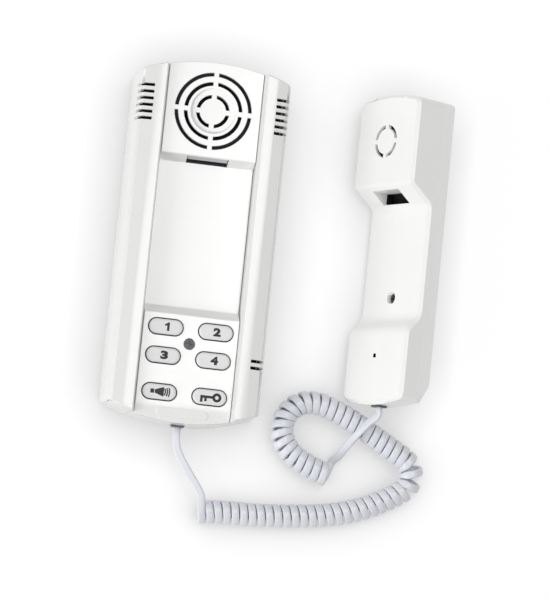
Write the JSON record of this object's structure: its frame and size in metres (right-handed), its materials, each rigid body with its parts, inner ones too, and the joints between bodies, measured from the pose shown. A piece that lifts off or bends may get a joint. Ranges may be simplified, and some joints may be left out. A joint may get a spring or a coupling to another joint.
{
  "type": "audio intercom handset",
  "caption": "White plastic audio intercom: wall station with speaker grille, finger recess and grey keys, its handset lying beside it, joined by a flat curly cord.",
  "frame": {"origin": "middle of the station's back face, on the wall plane", "axes": "+X across the station towards the handset, +Y along the station towards the speaker, +Z out of the wall towards the user"},
  "size_m": [0.2061, 0.2841, 0.0599],
  "materials": {
    "white_plastic": "fine satin",
    "plate_plastic": "matt",
    "grey_plastic": "fine grain",
    "black_plastic": "matt",
    "steel": "zinc plated",
    "dark_screw": "dark plated",
    "magnet_iron": "plain",
    "foam": "matt",
    "cone_paper": "matt",
    "board_green": "satin",
    "terminal_green": "satin",
    "capacitor_sleeve": "gloss",
    "relay_blue": "gloss",
    "plug_plastic": "gloss",
    "contact_brass": "plated",
    "cord_sleeve": "satin"
  },
  "bodies": {
    "station": {"base_case": "white_plastic", "base_fascia": "white_plastic", "rear_plate": "plate_plastic", "case_screws": "steel", "front_screw": "dark_screw", "speaker_gasket": "foam", "speaker_frame": "steel", "speaker_cone": "cone_paper", "speaker_magnet": "magnet_iron", "speaker_screws": "steel", "main_board": "board_green", "board_screws": "steel", "terminal_block": "terminal_green", "terminal_screws": "steel", "capacitors": "capacitor_sleeve", "logic_chips": "black_plastic", "door_relay": "relay_blue", "key_switches": "black_plastic", "hook_pin": "steel", "hook_switch": "black_plastic", "base_jack": "black_plastic", "base_plug": "plug_plastic", "base_plug_contacts": "contact_brass", "cord_base_lead": "cord_sleeve", "curly_cord": "cord_sleeve", "cord_handset_lead": "cord_sleeve"},
    "hook": {"hook_lever": "grey_plastic"},
    "key_1": {"key_1": "grey_plastic"},
    "key_2": {"key_2": "grey_plastic"},
    "key_3": {"key_3": "grey_plastic"},
    "key_4": {"key_4": "grey_plastic"},
    "key_call": {"key_call": "grey_plastic"},
    "key_door": {"key_door": "grey_plastic"},
    "handset": {"handset_front_shell": "white_plastic", "handset_rear_shell": "white_plastic", "handset_screw": "dark_screw", "hook_pocket": "black_plastic", "receiver_ring": "foam", "receiver_capsule": "black_plastic", "mic_boot": "foam", "mic_capsule": "steel", "ballast_weight": "magnet_iron", "handset_jack": "black_plastic", "handset_plug": "plug_plastic", "handset_plug_contacts": "contact_brass"}
  },
  "joints": [
    {"name": "handset_lift", "type": "slide", "parent": "station", "child": "handset", "axis": [0, 0, 1], "range_m": [0, 0.08]},
    {"name": "hook_turn", "type": "hinge", "parent": "station", "child": "hook", "pos_m": [0, 0.062, 0.015], "axis": [1, 0, 0], "range_deg": [0, 6], "stiffness_Nm_per_rad": 0.05, "springref_deg": -17.19},
    {"name": "press_1", "type": "slide", "parent": "station", "child": "key_1", "axis": [0, 0, -1], "range_m": [0, 0.0012], "stiffness_N_per_m": 300, "springref_m": -0.002},
    {"name": "press_2", "type": "slide", "parent": "station", "child": "key_2", "axis": [0, 0, -1], "range_m": [0, 0.0012], "stiffness_N_per_m": 300, "springref_m": -0.002},
    {"name": "press_3", "type": "slide", "parent": "station", "child": "key_3", "axis": [0, 0, -1], "range_m": [0, 0.0012], "stiffness_N_per_m": 300, "springref_m": -0.002},
    {"name": "press_4", "type": "slide", "parent": "station", "child": "key_4", "axis": [0, 0, -1], "range_m": [0, 0.0012], "stiffness_N_per_m": 300, "springref_m": -0.002},
    {"name": "press_call", "type": "slide", "parent": "station", "child": "key_call", "axis": [0, 0, -1], "range_m": [0, 0.0012], "stiffness_N_per_m": 300, "springref_m": -0.002},
    {"name": "press_door", "type": "slide", "parent": "station", "child": "key_door", "axis": [0, 0, -1], "range_m": [0, 0.0012], "stiffness_N_per_m": 300, "springref_m": -0.002}
  ]
}
